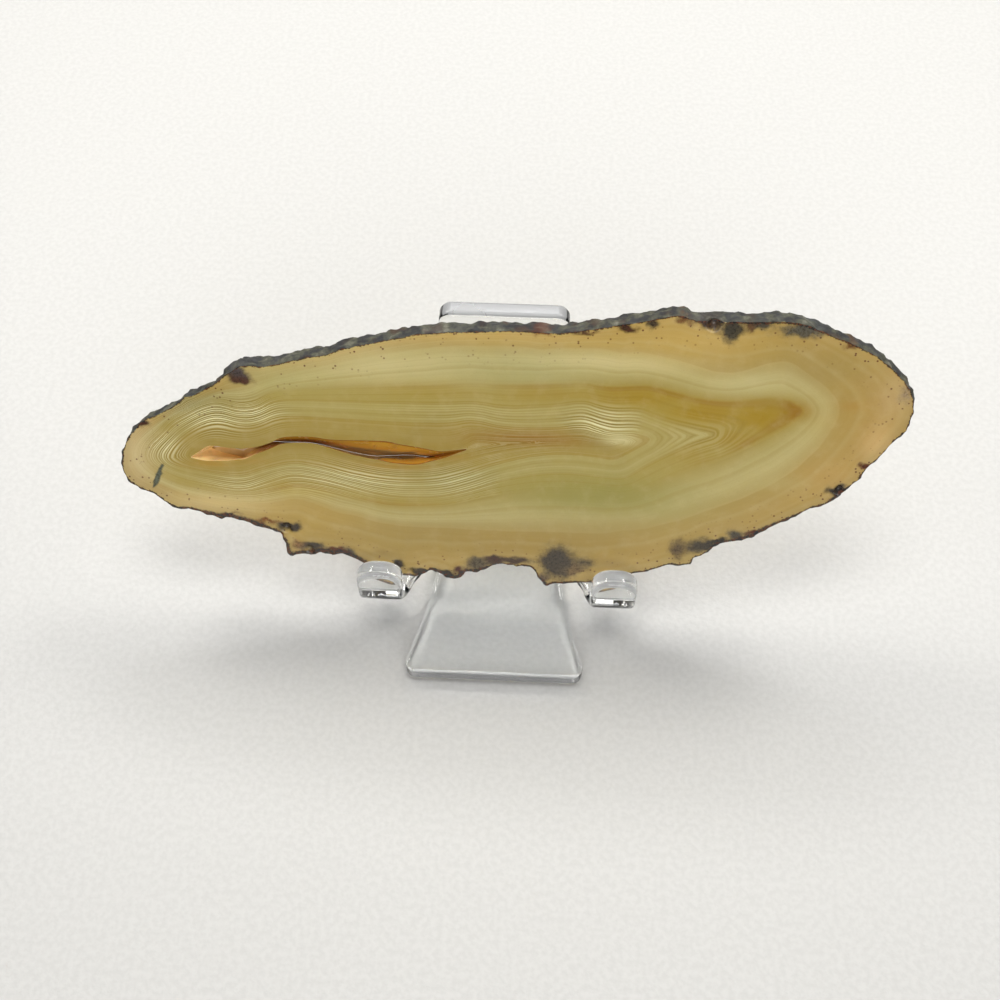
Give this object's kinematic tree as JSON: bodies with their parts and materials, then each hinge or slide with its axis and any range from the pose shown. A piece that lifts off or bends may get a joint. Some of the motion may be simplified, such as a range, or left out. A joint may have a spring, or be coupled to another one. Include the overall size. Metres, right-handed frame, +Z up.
{
  "type": "agate slice on a display stand",
  "caption": "Polished banded agate slice with a rough rind and a narrow open hollow, leaning on a one-piece clear easel stand.",
  "frame": {"origin": "on the surface it stands on, under the middle of the whole object's box", "axes": "+X along the slice to its broad end, the viewer's right; +Y to the back, behind the stand's panel; +Z up"},
  "size_m": [0.1436, 0.0474, 0.0606],
  "materials": {
    "agate": "polished, banded, translucent",
    "clear_sheet": "clear, polished edges"
  },
  "bodies": {
    "root": {"agate_slice": "agate", "display_stand": "clear_sheet"}
  },
  "joints": []
}
